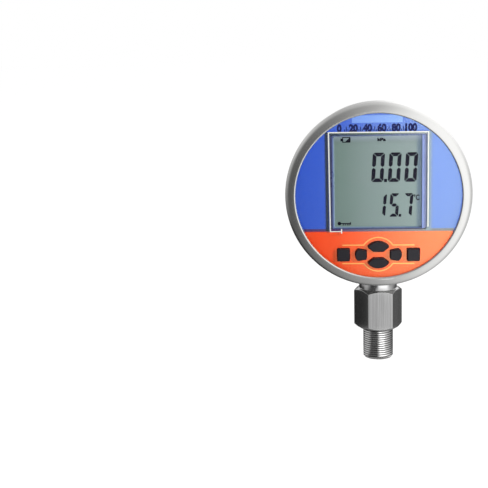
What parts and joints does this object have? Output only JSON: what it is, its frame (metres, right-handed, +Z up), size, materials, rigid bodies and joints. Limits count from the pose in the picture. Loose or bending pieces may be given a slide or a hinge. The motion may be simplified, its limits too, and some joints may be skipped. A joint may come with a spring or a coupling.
{
  "type": "digital pressure gauge",
  "caption": "Round steel gauge with a blue and orange face, segment display, push keys with springs, battery bay and threaded hexagon connector below.",
  "frame": {"origin": "middle of the connector's sealing face, at the free end of the thread", "axes": "+Z up the connector's axis to the case, -Y out of the face, +X to the right as the face is read"},
  "size_m": [0.12, 0.0436, 0.1739],
  "materials": {
    "steel_case": "satin drawn steel",
    "steel_bezel": "satin turned steel",
    "steel_connector": "machined bright steel",
    "steel_fasteners": "bright",
    "window_glass": "clear, white line printed on its front",
    "printed_face": "printed blue above and orange below",
    "dark_plastic": "moulded",
    "frame_plastic": "smooth",
    "display_glass": "greenish grey with dark segments",
    "light_plate": "diffusing",
    "seal_rubber": "matte",
    "key_rubber": "smooth",
    "board_laminate": "solder mask",
    "chip_plastic": "moulded",
    "metal_cans": "bright",
    "brass_parts": "bright",
    "nickel_contacts": "nickel plated",
    "cell_jackets": "printed jacket",
    "wire_sheath": "wire insulation",
    "pale_plastic": "moulded"
  },
  "bodies": {
    "housing": {"case_shell": "steel_case", "bezel_ring": "steel_bezel", "bezel_gasket": "seal_rubber", "front_window": "window_glass", "face_panel": "printed_face", "front_carrier": "dark_plastic", "display_frame": "frame_plastic", "display_cell": "display_glass", "backlight": "light_plate", "contact_strips": "seal_rubber", "main_board": "board_laminate", "key_switches": "chip_plastic", "board_screws": "steel_fasteners", "board_chips": "chip_plastic", "capacitors": "metal_cans", "clock_crystal": "metal_cans", "standoffs": "brass_parts", "case_screws": "steel_fasteners", "battery_tray": "dark_plastic", "battery_cells": "cell_jackets", "battery_springs": "nickel_contacts", "battery_contacts": "nickel_contacts", "battery_lead": "wire_sheath", "battery_door": "steel_case", "door_gasket": "seal_rubber", "door_screws": "steel_fasteners", "pressure_connector": "steel_connector", "neck_seal": "seal_rubber", "saddle_spacer": "metal_cans", "lock_washer": "steel_fasteners", "lock_nut": "brass_parts", "sensor_capsule": "steel_fasteners", "sensor_ring_seal": "seal_rubber", "sensor_retainer": "brass_parts", "sensor_lead": "pale_plastic", "sensor_plug": "pale_plastic"},
    "square_key_left": {"square_key_left": "key_rubber", "square_plunger_left": "pale_plastic"},
    "square_key_right": {"square_key_right": "key_rubber", "square_plunger_right": "pale_plastic"},
    "arrow_key_up": {"arrow_key_up": "key_rubber", "arrow_plunger_up": "pale_plastic"},
    "arrow_key_down": {"arrow_key_down": "key_rubber", "arrow_plunger_down": "pale_plastic"},
    "arrow_key_left": {"arrow_key_left": "key_rubber", "arrow_plunger_left": "pale_plastic"},
    "arrow_key_right": {"arrow_key_right": "key_rubber", "arrow_plunger_right": "pale_plastic"}
  },
  "joints": [
    {"name": "square_key_left_press", "type": "slide", "parent": "housing", "child": "square_key_left", "axis": [0, 1, 0], "range_m": [0, 0.0006], "stiffness_N_per_m": 500},
    {"name": "square_key_right_press", "type": "slide", "parent": "housing", "child": "square_key_right", "axis": [0, 1, 0], "range_m": [0, 0.0006], "stiffness_N_per_m": 500},
    {"name": "arrow_key_up_press", "type": "slide", "parent": "housing", "child": "arrow_key_up", "axis": [0, 1, 0], "range_m": [0, 0.0006], "stiffness_N_per_m": 500},
    {"name": "arrow_key_down_press", "type": "slide", "parent": "housing", "child": "arrow_key_down", "axis": [0, 1, 0], "range_m": [0, 0.0006], "stiffness_N_per_m": 500},
    {"name": "arrow_key_left_press", "type": "slide", "parent": "housing", "child": "arrow_key_left", "axis": [0, 1, 0], "range_m": [0, 0.0006], "stiffness_N_per_m": 500},
    {"name": "arrow_key_right_press", "type": "slide", "parent": "housing", "child": "arrow_key_right", "axis": [0, 1, 0], "range_m": [0, 0.0006], "stiffness_N_per_m": 500}
  ]
}
